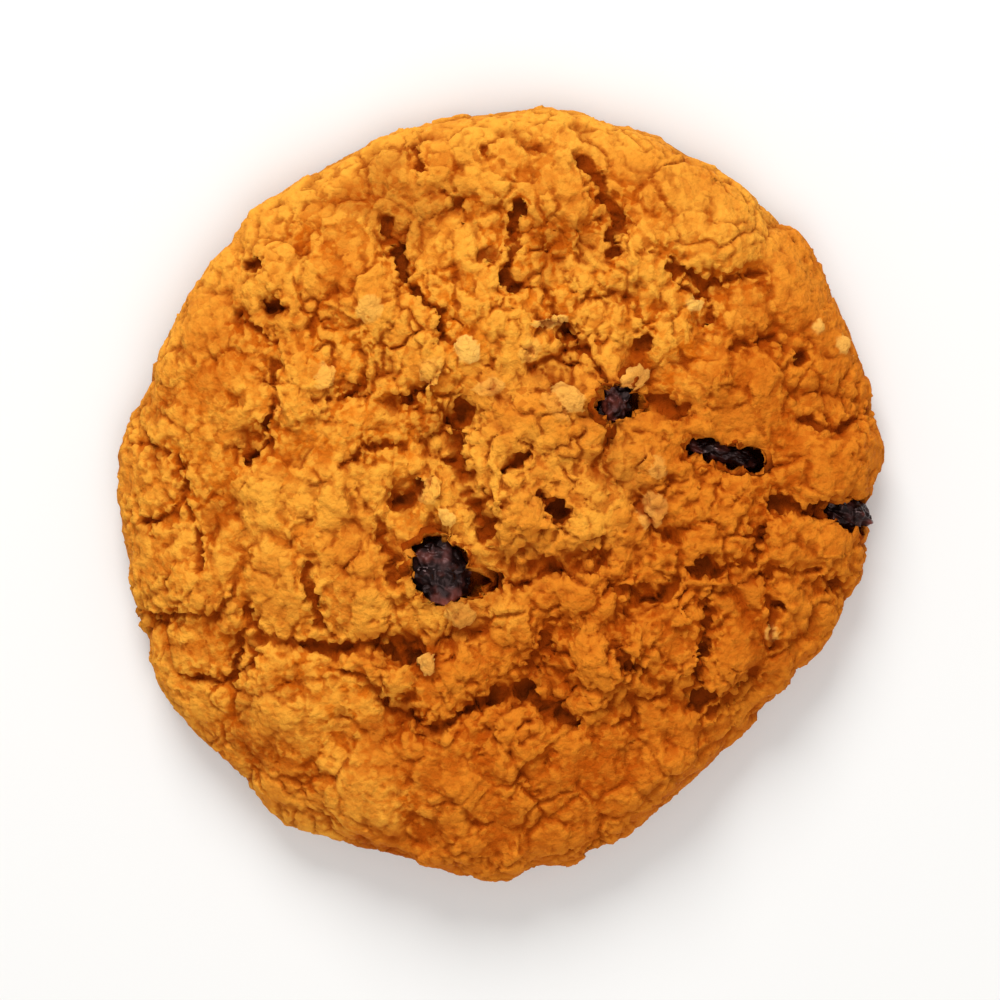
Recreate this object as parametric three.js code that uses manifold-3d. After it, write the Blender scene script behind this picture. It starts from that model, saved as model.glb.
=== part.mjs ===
// An oatmeal raisin cookie, lying on its flat baked base with its craggy top up.
// Millimetres, +Z up. The origin is at the middle of the base, on the surface that the cookie rests on.
// The dough is one solid. Each raisin is a solid of its own, set in a pocket that opens through the crust.
import * as THREE from "three";
import { mergeVertices } from "three/addons/utils/BufferGeometryUtils.js";
import Module from "manifold-3d";

const { clamp, degToRad, lerp, smoothstep } = THREE.MathUtils;
const wasm = await Module();
wasm.setup();

// Driving dimensions of the whole cookie
const RADIUS = 39; // mean radius of the outline
const OVAL = 0.027; // share by which the dough spread further along one axis
const OVAL_AXIS = degToRad(55);
const FLAT_SIDE = 36.4; // distance from the middle to the side that baked flatter
const FLAT_SIDE_AXIS = degToRad(-43);
const FLAT_SIDE_BLEND = 7; // length over which the flatter side rounds into the outline
const CROWN = 12.2; // height of the middle, before the relief
const WAIST = 3.8; // height at which the cookie is widest
const FOOT_INSET = 1.8; // how far the edge of the base lies inside the widest line
const DOME_REACH = 0.66; // share of the radius at which the top starts to fall away
const SHOULDER = 1.2; // fall of the top by the time it turns down into the rim

// Relief of the crust
const CRAG_PITCH = 9; // size of the crags into which the crust broke as it spread
const CRAG_STEP = 0.6; // how far a crag stands above or below its neighbours
const CRAG_GROOVE = 0.8; // depth of the grooves between crags
const CRUMB_PITCH = 3.2; // size of the oat crumbs that show through the crust
const CRUMB_RISE = 0.7;
const RIM_CALM = 0.5; // share of the crumb relief that is left on the smoother rim
const CALM_FROM = 0.55; // share of the radius at which the crust starts to get smoother
const CALM_TO = 0.9;
const FISSURE_HALF_WIDTH = 1.2;
const FISSURE_RAGGED = 0.8; // how much the crumbs at its edge narrow or widen a fissure
const PIT_RADIUS = 1.5;
const BASE_MARGIN = 2; // height over which the relief grows from the flat base

// Facets
const CRUST_FACET = 1.38; // side of a facet on the crust
const BASE_FACET = 6; // and on the flat base
const RAISIN_DETAIL = 5; // subdivisions of a raisin's icosahedron
const POCKET_DETAIL = 5;

// Pieces of crust that stand proud of the rest: the middle of each, its radius and its rise
const MOUNDS = [
  { at: [4, 3], radius: 10, rise: 0.9 },
  { at: [-19, -4], radius: 10, rise: 0.6 },
  { at: [11, -12.5], radius: 7, rise: 0.5 },
  { at: [26, -15], radius: 7, rise: 0.5 },
  { at: [5, 25], radius: 7, rise: 0.4 },
  { at: [24, 14], radius: 6, rise: 0.4 },
  { at: [-21, -19], radius: 7, rise: 0.5 },
  { at: [-30, 12], radius: 8, rise: 0.3 },
  { at: [22, 28], radius: 7, rise: 0.3 },
];

// The deepest fissures, each a route across the top, as x, y
const FISSURES = [
  { depth: 1.2, route: [[-11.2, 27.6], [-10.6, 25], [-9.4, 22], [-5.6, 18.4]] },
  { depth: 1, route: [[1.7, 29.3], [1.2, 25], [1.3, 21.6]] },
  { depth: 1.1, route: [[8.5, 33.6], [11.6, 28.3], [11, 25]] },
  { depth: 0.9, route: [[16.5, 23.5], [20.6, 21], [20.3, 16.5]] },
  { depth: 1, route: [[-25.5, 4.2], [-23.2, 5.7], [-22.8, 11]] },
  { depth: 1.2, route: [[-3.6, 9.5], [-4.6, 7], [-4.6, 4], [-3.6, 1.5], [-1.5, -2.9]] },
  { depth: 2.5, route: [[25.4, 3.5], [22, 5], [19, 5.3]] },
  { depth: 2.4, route: [[40, -2.2], [33, -1.2], [30.5, -0.8]] },
  { depth: 1.1, route: [[30.5, -0.8], [26.4, 0.2]] },
  { depth: 0.9, route: [[-8.6, 1.4], [-9.8, -0.8]] },
  { depth: 1.1, route: [[-20.4, -14], [-13, -14.7], [-8, -14.4]] },
  { depth: 1, route: [[-27.3, -18.2], [-25.7, -13.5], [-25.2, -10]] },
  { depth: 1.2, route: [[-8.3, -23.5], [-1.5, -19.8], [2.7, -18.7], [7, -22.4]] },
  { depth: 1, route: [[15.6, -8.9], [13.6, -9.8]] },
  { depth: 0.9, route: [[12, -16], [14.4, -17.2]] },
  { depth: 1, route: [[25.6, -2], [25.2, -6.4], [19.6, -6.6]] },
  { depth: 1, route: [[20.4, -11.5], [19.6, -18.5]] },
  { depth: 1, route: [[1, 3.5], [2.7, 4.8]] },
  { depth: 1.1, route: [[4.1, 1], [6.2, -1.5]] },
  { depth: 1.6, route: [[-5, -7.4], [-0.6, -8.2]] },
  { depth: 0.8, route: [[13.6, 10], [18, 9.4]] },
  { depth: 0.8, route: [[0.5, -6.6], [5, -6.2], [10, -4.8]] },
];

// Open bubbles in the crust
const PITS = [
  { depth: 1.3, at: [-22.6, 19.6] },
  { depth: 1, at: [-24.7, 23.8] },
  { depth: 1.5, at: [11.1, 9.9] },
  { depth: 0.9, at: [13.8, 15.9] },
  { depth: 0.9, at: [29.6, 14.6] },
  { depth: 1.3, at: [20.1, -20.3] },
  { depth: 1, at: [33.8, -9] },
];

// Raisins: the middle of each, its length, width and height, and how it is turned about +Z and leans
const RAISINS = [
  { name: "raisin_front", at: [-6.4, -7.2, 9.5], size: [8.8, 7.6, 5.6], turn: -55, lean: 6 },
  { name: "raisin_upper", at: [11.2, 9.9, 9.7], size: [6, 4.6, 4.6], turn: 70, lean: -6 },
  { name: "raisin_right", at: [22, 4.7, 8.2], size: [9, 3.4, 4.2], turn: -16, lean: 6 },
  { name: "raisin_edge", at: [34.7, -1.5, 5.9], size: [6.8, 4.2, 4.4], turn: -14, lean: 12 },
];
const POCKET_GAP = 0.35; // clear space between a raisin and its pocket
const FOLD_SETS = 3; // directions in which a raisin's skin is folded
const FOLD_RATE = 13; // how close together the folds of one direction lie
const FOLD_DEPTH = 0.16; // share of the raisin's size

const doughFinish = new THREE.MeshStandardMaterial({ color: 0xc7701c, roughness: 0.8, metalness: 0 });
const raisinFinish = new THREE.MeshStandardMaterial({ color: 0x2b1714, roughness: 0.45, metalness: 0 });

// A repeatable number from 0 to 1 for a whole-numbered place
function chance(i, j, k, seed) {
  const wave = Math.sin(i * 127.1 + j * 311.7 + k * 74.7 + seed * 53.3) * 43758.5453;
  return wave - Math.floor(wave);
}

// The steps from a cell of a cubic lattice to itself and to the cells around it
const AROUND = [-1, 0, 1];
const NEIGHBOURS = AROUND.flatMap((i) => AROUND.flatMap((j) => AROUND.map((k) => [i, j, k])));

// The scattered cell that holds a point: its own chance, the way to its middle and the depth inside its border
function cellAt(point, pitch, seed) {
  const home = point.toArray().map((v) => Math.floor(v / pitch));
  const middle = new THREE.Vector3();
  const cell = { value: 0, nearest: Infinity };
  let second = Infinity;
  for (const step of NEIGHBOURS) {
    const place = step.map((v, axis) => v + home[axis]);
    middle.fromArray(place.map((v, axis) => v + chance(...place, seed + axis)));
    const away = middle.multiplyScalar(pitch).distanceTo(point);
    second = Math.min(second, Math.max(away, cell.nearest));
    if (away < cell.nearest) {
      cell.nearest = away;
      cell.value = chance(...place, seed + 3);
    }
  }
  return { ...cell, inside: (second - cell.nearest) / 2 };
}

// The outline of the cookie seen from above: an oval with one side that baked flatter
function outline(angle) {
  const oval = RADIUS * (1 + OVAL * Math.cos(2 * (angle - OVAL_AXIS)));
  const flat = FLAT_SIDE / Math.max(Math.cos(angle - FLAT_SIDE_AXIS), 0.1);
  const blend = clamp(0.5 + (flat - oval) / (2 * FLAT_SIDE_BLEND), 0, 1);
  return lerp(flat, oval, blend) - FLAT_SIDE_BLEND * blend * (1 - blend);
}

// Half of the cookie's section, as radius and height, from the crown over the rim to the edge of the base
function crustProfile() {
  const profile = new THREE.Path();
  profile.moveTo(0, CROWN);
  profile.bezierCurveTo(DOME_REACH * RADIUS, CROWN, RADIUS, CROWN - SHOULDER, RADIUS, WAIST);
  profile.quadraticCurveTo(RADIUS, 0, RADIUS - FOOT_INSET, 0);
  return profile;
}

// Distance across the top from a point to a place
function distanceToPlace(point, [x, y]) {
  return Math.hypot(point.x - x, point.y - y);
}

// Distance across the top from a point to a route
function distanceToRoute(point, route) {
  const here = new THREE.Vector2(point.x, point.y);
  const away = new THREE.Vector2();
  let least = Infinity;
  for (let i = 1; i < route.length; i++) {
    const start = new THREE.Vector2(...route[i - 1]);
    const stretch = new THREE.Vector2(...route[i]).sub(start);
    const share = clamp(away.copy(here).sub(start).dot(stretch) / stretch.lengthSq(), 0, 1);
    least = Math.min(least, here.distanceTo(start.addScaledVector(stretch, share)));
  }
  return least;
}

// Rise of the pieces of crust that stand proud
function moundAt(point) {
  const rises = MOUNDS.map(({ at, radius, rise }) => {
    return rise * (1 - smoothstep(distanceToPlace(point, at) / radius, 0.5, 1));
  });
  return Math.max(...rises);
}

// Depth of the fissures and open bubbles, whose edges are as ragged as the crumbs there
function cutAt(point, ragged) {
  const fissures = FISSURES.map(({ depth, route }) => {
    const share = (distanceToRoute(point, route) + ragged) / FISSURE_HALF_WIDTH;
    return depth * (1 - smoothstep(share, 0, 1));
  });
  const pits = PITS.map(({ depth, at }) => {
    return depth * (1 - smoothstep(distanceToPlace(point, at) / PIT_RADIUS, 0, 1));
  });
  return Math.max(...fissures, ...pits);
}

// How far the crust stands proud of the smooth section at a point
function relief(point) {
  const crag = cellAt(point, CRAG_PITCH, 1);
  const cragEdge = smoothstep(crag.inside, 0, CRAG_PITCH / 6);
  const step = lerp(-CRAG_GROOVE, CRAG_STEP * (2 * crag.value - 1), cragEdge);

  const crumb = cellAt(point, CRUMB_PITCH, 11);
  const calm = smoothstep(Math.hypot(point.x, point.y) / RADIUS, CALM_FROM, CALM_TO);
  const round = 1 - (crumb.nearest / CRUMB_PITCH) ** 2;
  const crumbEdge = smoothstep(crumb.inside, -CRUMB_PITCH / 16, CRUMB_PITCH / 7);
  const rise = CRUMB_RISE * lerp(1, RIM_CALM, calm) * (round * crumbEdge - 0.5);

  return step + rise + moundAt(point) - cutAt(point, FISSURE_RAGGED * (crumb.value - 0.5));
}

// A closed surface stitched from rings of points, of which the first and the last are single points
function stitchRings(rings) {
  const positions = rings.flat().flatMap((point) => point.toArray());
  const triangles = [];
  let start = 0;
  for (let r = 1; r < rings.length; r++) {
    const inner = rings[r - 1].length;
    const outer = rings[r].length;
    const innerAt = (i) => start + (i % inner);
    const outerAt = (j) => start + inner + (j % outer);
    let i = 0;
    let j = 0;
    while (i < inner || j < outer) {
      const outerNext = i >= inner || (j < outer && (j + 0.5) / outer <= (i + 0.5) / inner);
      if (outerNext) {
        if (outer > 1) triangles.push(innerAt(i), outerAt(j), outerAt(j + 1));
        j += 1;
      } else {
        if (inner > 1) triangles.push(innerAt(i), outerAt(j), innerAt(i + 1));
        i += 1;
      }
    }
    start += inner;
  }
  const geometry = new THREE.BufferGeometry();
  geometry.setAttribute("position", new THREE.Float32BufferAttribute(positions, 3));
  geometry.setIndex(triangles);
  return geometry;
}

// One ring of the surface, a single point on the axis: place gives the point at an angle
function ringOf(radius, facet, place) {
  const count = radius < facet / 2 ? 1 : Math.max(6, Math.round((2 * Math.PI * radius) / facet));
  return Array.from({ length: count }, (_, i) => place((2 * Math.PI * i) / count));
}

// The whole dough, without its pockets
function doughGeometry() {
  const profile = crustProfile();
  const crustSteps = Math.round(profile.getLength() / CRUST_FACET);
  const crust = Array.from({ length: crustSteps + 1 }, (_, i) => {
    const { x: radius, y: height } = profile.getPointAt(i / crustSteps);
    const { x: outward, y: upward } = profile.getTangentAt(i / crustSteps);
    return ringOf(radius, CRUST_FACET, (angle) => {
      const around = new THREE.Vector3(Math.cos(angle), Math.sin(angle), 0);
      const point = around.clone().multiplyScalar((radius * outline(angle)) / RADIUS).setZ(height);
      const normal = around.multiplyScalar(-upward).setZ(outward);
      return point.addScaledVector(normal, relief(point) * smoothstep(height, 0, BASE_MARGIN));
    });
  });
  const foot = RADIUS - FOOT_INSET;
  const baseSteps = Math.round(foot / BASE_FACET);
  const base = Array.from({ length: baseSteps }, (_, i) => {
    const radius = foot * (1 - (i + 1) / baseSteps);
    return ringOf(radius, BASE_FACET, (angle) => {
      const spread = (radius * outline(angle)) / RADIUS;
      return new THREE.Vector3(Math.cos(angle) * spread, Math.sin(angle) * spread, 0);
    });
  });
  return stitchRings([...crust, ...base]);
}

// A raisin of unit size: a ball whose skin has dried into folds, with a crease wherever two folds meet
function raisinGeometry(seed) {
  const geometry = new THREE.IcosahedronGeometry(0.5, RAISIN_DETAIL);
  const places = geometry.getAttribute("position");
  const folds = Array.from({ length: FOLD_SETS }, (_, i) => {
    const [x, y, z, phase] = AROUND.concat(2).map((k) => chance(i, k, seed, 21));
    const across = new THREE.Vector3(x - 0.5, y - 0.5, z - 0.5).normalize();
    return { across, phase: 2 * Math.PI * phase };
  });
  const point = new THREE.Vector3();
  for (let i = 0; i < places.count; i++) {
    point.fromBufferAttribute(places, i);
    const skins = folds.map(({ across, phase }) => {
      return Math.abs(Math.sin(FOLD_RATE * point.dot(across) + phase)) ** 0.5;
    });
    const skin = skins.reduce((sum, height) => sum + height) / FOLD_SETS;
    point.multiplyScalar(1 - FOLD_DEPTH * (1 - skin));
    places.setXYZ(i, point.x, point.y, point.z);
  }
  return geometry;
}

// Sets a raisin's mesh, or its pocket's, where the raisin lies
function placeRaisin(mesh, { at, size, turn, lean }, gap = 0) {
  mesh.position.set(...at);
  mesh.rotation.set(0, degToRad(lean), degToRad(turn), "ZYX");
  mesh.scale.set(...size.map((length) => length + 2 * gap));
  mesh.updateMatrixWorld();
  return mesh;
}

// A mesh as a solid that can be cut
function solidOf(mesh) {
  const bare = mesh.geometry.clone().applyMatrix4(mesh.matrixWorld);
  bare.deleteAttribute("normal");
  bare.deleteAttribute("uv");
  const merged = mergeVertices(bare, 1e-4);
  return new wasm.Manifold(
    new wasm.Mesh({
      numProp: 3,
      vertProperties: merged.getAttribute("position").array,
      triVerts: new Uint32Array(merged.index.array),
    }),
  );
}

// A cut solid as a geometry again
function geometryOf(solid) {
  const { vertProperties, triVerts } = solid.getMesh();
  const geometry = new THREE.BufferGeometry();
  geometry.setAttribute("position", new THREE.BufferAttribute(vertProperties, 3));
  geometry.setIndex(new THREE.BufferAttribute(triVerts, 1));
  return geometry;
}

// The dough with a pocket for each raisin
function dough() {
  let solid = solidOf(new THREE.Mesh(doughGeometry()));
  for (const facts of RAISINS) {
    const pocket = new THREE.Mesh(new THREE.IcosahedronGeometry(0.5, POCKET_DETAIL));
    solid = solid.subtract(solidOf(placeRaisin(pocket, facts, POCKET_GAP)));
  }
  const mesh = new THREE.Mesh(geometryOf(solid), doughFinish);
  mesh.name = "dough";
  return mesh;
}

function raisin(facts, index) {
  const mesh = placeRaisin(new THREE.Mesh(raisinGeometry(index), raisinFinish), facts);
  mesh.name = facts.name;
  return mesh;
}

const cookie = new THREE.Group();
cookie.add(dough(), ...RAISINS.map(raisin));

export default cookie;
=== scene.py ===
# %% [markdown]
# # An oatmeal raisin cookie
#
# A cookie looks simple, but its crust has detail at every size: lumps a centimetre wide, fissures between
# them, oat flakes and crumbs of a few millimetres, and finer grain. This lesson starts from a plain solid
# with the right outline, fissures and raisins, and grows the finer crust on it with Geometry Nodes.

# %% Load the plain solid
import math

import bpy
import numpy as np
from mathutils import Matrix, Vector


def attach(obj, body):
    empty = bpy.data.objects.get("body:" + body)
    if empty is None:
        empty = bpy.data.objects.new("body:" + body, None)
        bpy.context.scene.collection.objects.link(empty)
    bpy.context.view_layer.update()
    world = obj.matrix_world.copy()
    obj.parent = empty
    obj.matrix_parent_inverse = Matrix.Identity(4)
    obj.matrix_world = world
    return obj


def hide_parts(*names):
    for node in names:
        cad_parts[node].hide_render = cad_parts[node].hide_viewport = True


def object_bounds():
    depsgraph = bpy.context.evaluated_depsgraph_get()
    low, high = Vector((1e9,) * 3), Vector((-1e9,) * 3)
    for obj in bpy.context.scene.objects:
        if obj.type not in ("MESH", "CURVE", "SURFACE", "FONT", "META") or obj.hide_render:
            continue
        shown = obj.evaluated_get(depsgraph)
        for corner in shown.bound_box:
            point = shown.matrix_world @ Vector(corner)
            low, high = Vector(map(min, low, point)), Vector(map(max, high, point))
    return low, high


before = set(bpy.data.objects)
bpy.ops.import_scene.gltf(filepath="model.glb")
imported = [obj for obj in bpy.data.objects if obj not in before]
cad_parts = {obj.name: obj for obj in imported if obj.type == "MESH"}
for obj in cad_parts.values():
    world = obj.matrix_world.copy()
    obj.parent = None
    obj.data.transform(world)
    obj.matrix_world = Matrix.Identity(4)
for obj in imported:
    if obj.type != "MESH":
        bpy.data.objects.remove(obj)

MM = 0.001
cad_low, cad_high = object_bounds()
RAISIN_NODES = sorted(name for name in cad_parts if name.startswith("raisin"))
print("solid:", [round(side / MM, 1) for side in cad_high - cad_low], "mm, raisins:", RAISIN_NODES)

# %% [markdown]
# ## Small helpers
#
# A node tree is a recipe that Blender runs again whenever an input changes. Building one in a script takes
# many similar lines, so a few short helpers make nodes and join them. A value that is itself a socket
# becomes a link, and anything else is typed into the socket.

# %% Helpers for nodes
def add_node(tree, kind, inputs=None, **settings):
    """Adds a node, gives it its settings, and fills or links its inputs."""
    node = tree.nodes.new(kind)
    for name, value in settings.items():
        setattr(node, name, value)
    for key, value in (inputs or {}).items():
        if isinstance(value, bpy.types.NodeSocket):
            tree.links.new(value, node.inputs[key])
        else:
            node.inputs[key].default_value = value
    return node


def made(tree, kind, inputs=None, **settings):
    """The first output of a new node."""
    return add_node(tree, kind, inputs, **settings).outputs[0]


def calc(tree, operation, *values):
    """One sum on numbers."""
    return made(tree, "ShaderNodeMath", dict(enumerate(values)), operation=operation)


def product(tree, first, *others):
    """Several numbers multiplied."""
    for value in others:
        first = calc(tree, "MULTIPLY", first, value)
    return first


def total(tree, first, *others):
    """Several numbers added."""
    for value in others:
        first = calc(tree, "ADD", first, value)
    return first


def vector_calc(tree, operation, *values):
    """One sum on vectors. Only the output that the sum uses is enabled."""
    node = add_node(tree, "ShaderNodeVectorMath", dict(enumerate(values)), operation=operation)
    return next(socket for socket in node.outputs if socket.enabled)


def scaled(tree, vector, factor):
    """A vector times a number."""
    inputs = {"Vector": vector, "Scale": factor}
    return made(tree, "ShaderNodeVectorMath", inputs, operation="SCALE")


def dot(tree, first, second):
    """How far one vector goes along another."""
    return vector_calc(tree, "DOT_PRODUCT", first, second)


def flattened(tree, vector):
    """A vector without its height."""
    return vector_calc(tree, "MULTIPLY", vector, (1, 1, 0))


def part_of(tree, vector, axis):
    """The X, Y or Z of a vector."""
    return add_node(tree, "ShaderNodeSeparateXYZ", {"Vector": vector}).outputs[axis]


def remap(tree, value, low, high, to_low=0, to_high=1, kind="SMOOTHSTEP"):
    """Takes a value from one range to another and holds it there."""
    ends = {"Value": value, "From Min": low, "From Max": high, "To Min": to_low, "To Max": to_high}
    return made(tree, "ShaderNodeMapRange", ends, interpolation_type=kind)


# %% [markdown]
# ## Patterns
#
# Three patterns do most of the work. Noise makes clouds and patches. A Voronoi texture cuts space into
# cells, which look like crumbs because crumbs also grow until they meet. And a noise that moves the places
# at which another pattern is read bends it, so that no line stays straight.

# %% Helpers for patterns
def rate(tree, size):
    """How often a pattern repeats in a metre, for a size that is a number or a socket."""
    return calc(tree, "DIVIDE", 1, size) if isinstance(size, bpy.types.NodeSocket) else 1 / size


def noise(tree, place, size, seed, detail):
    """A cloudy noise whose blobs are about as large as size, in metres."""
    inputs = {"Vector": place, "W": seed, "Scale": rate(tree, size), "Detail": detail}
    return add_node(tree, "ShaderNodeTexNoise", inputs, noise_dimensions="4D")


def cloud(tree, place, size, seed, detail):
    """The noise as one number, around a half."""
    return noise(tree, place, size, seed, detail).outputs[0]


def drift(tree, place, size, seed, detail, reach):
    """The noise as a vector that points any way, at most half of reach along each axis."""
    colour = noise(tree, place, size, seed, detail).outputs["Color"]
    return scaled(tree, vector_calc(tree, "SUBTRACT", colour, (0.5, 0.5, 0.5)), reach)


def voronoi(tree, place, size, feature="F1"):
    """Cells about as large as size, in metres."""
    inputs = {"Vector": place, "Scale": rate(tree, size)}
    return add_node(tree, "ShaderNodeTexVoronoi", inputs, feature=feature).outputs


# %% [markdown]
# ## Pieces and modifiers
#
# A Geometry Nodes tree works as a modifier on an object. Its inputs are set by their identifiers, because
# two inputs may share a name. Once a tree has run, its result becomes a plain mesh and the modifier goes.

# %% Helpers for pieces
def new_geometry_tree(name, **sizes):
    """A Geometry Nodes tree with named inputs, and the nodes for its inputs and its result."""
    tree = bpy.data.node_groups.new(name, "GeometryNodeTree")
    tree.interface.new_socket("Geometry", in_out="INPUT", socket_type="NodeSocketGeometry")
    tree.interface.new_socket("Geometry", in_out="OUTPUT", socket_type="NodeSocketGeometry")
    kinds = {float: "NodeSocketFloat", int: "NodeSocketInt"}
    for label, value in sizes.items():
        kind = kinds.get(type(value), "NodeSocketObject")
        socket = tree.interface.new_socket(label, in_out="INPUT", socket_type=kind)
        if type(value) in kinds:
            socket.default_value = value
    return tree, tree.nodes.new("NodeGroupInput"), tree.nodes.new("NodeGroupOutput")


def apply_tree(piece, tree, **values):
    """Adds the tree as a modifier and sets its inputs."""
    modifier = piece.modifiers.new(tree.name, "NODES")
    modifier.node_group = tree
    for socket in tree.interface.items_tree:
        if socket.in_out == "INPUT" and socket.name in values:
            modifier[socket.identifier] = values[socket.name]


def make_plain(piece):
    """Turns what a piece's modifiers make into its own plain mesh."""
    bpy.context.view_layer.update()
    evaluated = piece.evaluated_get(bpy.context.evaluated_depsgraph_get())
    mesh = bpy.data.meshes.new_from_object(evaluated)
    piece.modifiers.clear()
    piece.data = mesh
    mesh.name = piece.name
    return piece


LEVELS = 2


def subdivide(piece):
    """Makes the faces of a piece finer and rounds them."""
    finer = piece.modifiers.new("finer", "SUBSURF")
    finer.levels = LEVELS
    finer.render_levels = LEVELS


def triangles(piece):
    """How many triangles a piece's mesh comes to."""
    return sum(len(face.vertices) - 2 for face in piece.data.polygons)


def new_object(name, data):
    """A new object in the scene."""
    thing = bpy.data.objects.new(name, data)
    bpy.context.scene.collection.objects.link(thing)
    return thing


def new_piece(name, places, edges=(), faces=()):
    """A new object with a mesh."""
    mesh = bpy.data.meshes.new(name)
    mesh.from_pydata(places, edges, faces)
    return new_object(name, mesh)


def merged_copy(node, name):
    """A copy of a solid as one closed mesh: the solid itself is loose triangles and stays as it is."""
    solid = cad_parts[node].data
    corners = np.empty(len(solid.vertices) * 3)
    solid.vertices.foreach_get("co", corners)
    rounded = np.round(corners.reshape(-1, 3) / MM, 4)
    places, index = np.unique(rounded, axis=0, return_inverse=True)
    faces = [[int(index.flat[v]) for v in face.vertices] for face in solid.polygons]
    return new_piece(name, (places * MM).tolist(), faces=faces)


# %% [markdown]
# ## Reading the surface
#
# Much of a crust follows from its shape: crumbs keep out of fissures, and the finish paints shade into the
# hollows and highlights onto the crests. So the trees compare the surface with a blurred copy of itself:
# where that copy is higher, a point lies in a hollow. What a tree finds out, it stores with the mesh for a
# later tree or for a material.

# %% Helpers that read and store
def here(tree):
    """The place and the normal of each point."""
    place = tree.nodes.new("GeometryNodeInputPosition").outputs[0]
    normal = tree.nodes.new("GeometryNodeInputNormal").outputs[0]
    return place, normal


def blurred(tree, value, count):
    """The mean of a vector over the points around each point."""
    inputs = {"Value": value, "Iterations": count}
    return made(tree, "GeometryNodeBlurAttribute", inputs, data_type="FLOAT_VECTOR")


def depth_below(tree, count):
    """How far a point lies below the surface around it, in millimetres."""
    place, normal = here(tree)
    gap = vector_calc(tree, "SUBTRACT", blurred(tree, place, count), place)
    return calc(tree, "DIVIDE", dot(tree, gap, normal), MM)


def geometry_of(tree, guide):
    """The mesh of another object."""
    return add_node(tree, "GeometryNodeObjectInfo", {"Object": guide}).outputs["Geometry"]


def nearest_face(tree, place, guide):
    """The distance to the faces of another object, and the nearest place on them."""
    inputs = {"Geometry": geometry_of(tree, guide), "Sample Position": place}
    return add_node(tree, "GeometryNodeProximity", inputs, target_element="FACES").outputs


def read_nearest(tree, place, guide, value, kind="FLOAT"):
    """What another object has at the place that is nearest to a point."""
    inputs = {"Mesh": geometry_of(tree, guide), "Value": value, "Sample Position": place}
    return made(tree, "GeometryNodeSampleNearestSurface", inputs, data_type=kind)


def move(tree, shape, offset=(0, 0, 0), **new_place):
    """Moves each point of a shape, from where it is or from a new place."""
    return made(tree, "GeometryNodeSetPosition", {"Geometry": shape, "Offset": offset, **new_place})


def store(tree, shape, name, value, domain="POINT"):
    """Keeps a number with each point, or with each instance."""
    inputs = {"Geometry": shape, "Name": name, "Value": value}
    return made(tree, "GeometryNodeStoreNamedAttribute", inputs, data_type="FLOAT", domain=domain)


def stored(tree, name):
    """A number that an earlier step kept."""
    return made(tree, "GeometryNodeInputNamedAttribute", {"Name": name}, data_type="FLOAT")


def join(tree, *shapes):
    """Several shapes as one."""
    node = add_node(tree, "GeometryNodeJoinGeometry")
    for shape in shapes:
        tree.links.new(shape, node.inputs[0])
    return node.outputs[0]


def end_tree(tree, shape, material, result):
    """The end of each tree: smooth shading, real meshes for the instances, and the material."""
    smooth = made(tree, "GeometryNodeSetShadeSmooth", {"Geometry": shape})
    real = made(tree, "GeometryNodeRealizeInstances", {"Geometry": smooth})
    dressed = made(tree, "GeometryNodeSetMaterial", {"Geometry": real, "Material": material})
    tree.links.new(dressed, result.inputs[0])
    return tree


# %% [markdown]
# ## The finish of a raisin
#
# Dried grape skin is purple-black, with a soft gloss, and a dry bloom of sugar dulls parts of it. The
# creases get painted shade, and the ridges a lighter, redder colour that is partly a painted highlight.
# Noise in the roughness makes the dull patches, and a fine bump stands for the pores. The folds are real
# shape and come next.

# %% Make the raisin finish
def new_material(name):
    """A material, its tree, its shader and the place of each point on the piece."""
    material = bpy.data.materials.new(name)
    material.use_nodes = True
    tree = material.node_tree
    place = tree.nodes.new("ShaderNodeTexCoord").outputs["Object"]
    return material, tree, tree.nodes["Principled BSDF"], place


def mix(tree, share, first, second):
    """Mixes two colours."""
    return add_node(tree, "ShaderNodeMix", {0: share, 6: first, 7: second}, data_type="RGBA").outputs[2]


def attribute(tree, name):
    """A number that a Geometry Nodes tree kept with the mesh."""
    return add_node(tree, "ShaderNodeAttribute", attribute_name=name).outputs["Fac"]


def add_bump(tree, shader, height, strength, distance):
    """Tilts the shading as if the surface had this height."""
    inputs = {"Height": height, "Strength": strength, "Distance": distance}
    tree.links.new(made(tree, "ShaderNodeBump", inputs), shader.inputs["Normal"])


def raisin_material():
    """Painted shade in the creases, redder ridges partly as painted highlight, a dull bloom and a soft
    gloss.
    """
    material, tree, shader, place = new_material("dried_skin")
    painted_crease_shade = (0.005, 0.002, 0.002, 1)
    ridge_colour_and_highlight = (0.21, 0.042, 0.026, 1)
    bloom = (0.19, 0.058, 0.050, 1)
    dull = cloud(tree, place, 1.6 * MM, 1, 3)
    # Painted shade in the creases, and a lighter, redder ridge colour that is partly a painted highlight
    colour = mix(tree, remap(tree, attribute(tree, "fold"), -0.95, -0.1), painted_crease_shade, ridge_colour_and_highlight)
    colour = mix(tree, remap(tree, dull, 0.52, 0.75, 0, 0.45), colour, bloom)
    tree.links.new(colour, shader.inputs["Base Color"])
    tree.links.new(remap(tree, dull, 0.35, 0.65, 0.22, 0.42), shader.inputs["Roughness"])
    shader.inputs["Specular IOR Level"].default_value = 0.34
    shader.inputs["Specular Tint"].default_value = (1, 0.65, 0.62, 1)
    pores = cloud(tree, place, 0.3 * MM, 2, 3)
    add_bump(tree, shader, pores, 0.4, 0.08 * MM)
    return material


raisin_skin = raisin_material()
print("finish:", raisin_skin.name)

# %% [markdown]
# ## Raisins
#
# A raisin is a grape that has lost its water: the skin is too large for what is left, so it folds into
# ridges with creases between them. The solids give each raisin its place and size. Subdividing a copy makes
# a smooth, fine skin, and a ridged noise that is pushed along the normals folds it. The same tree makes all
# the raisins, and a seed makes them differ.

# %% Fold the skin of the raisins
RIDGE_STEEPNESS = 4


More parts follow.
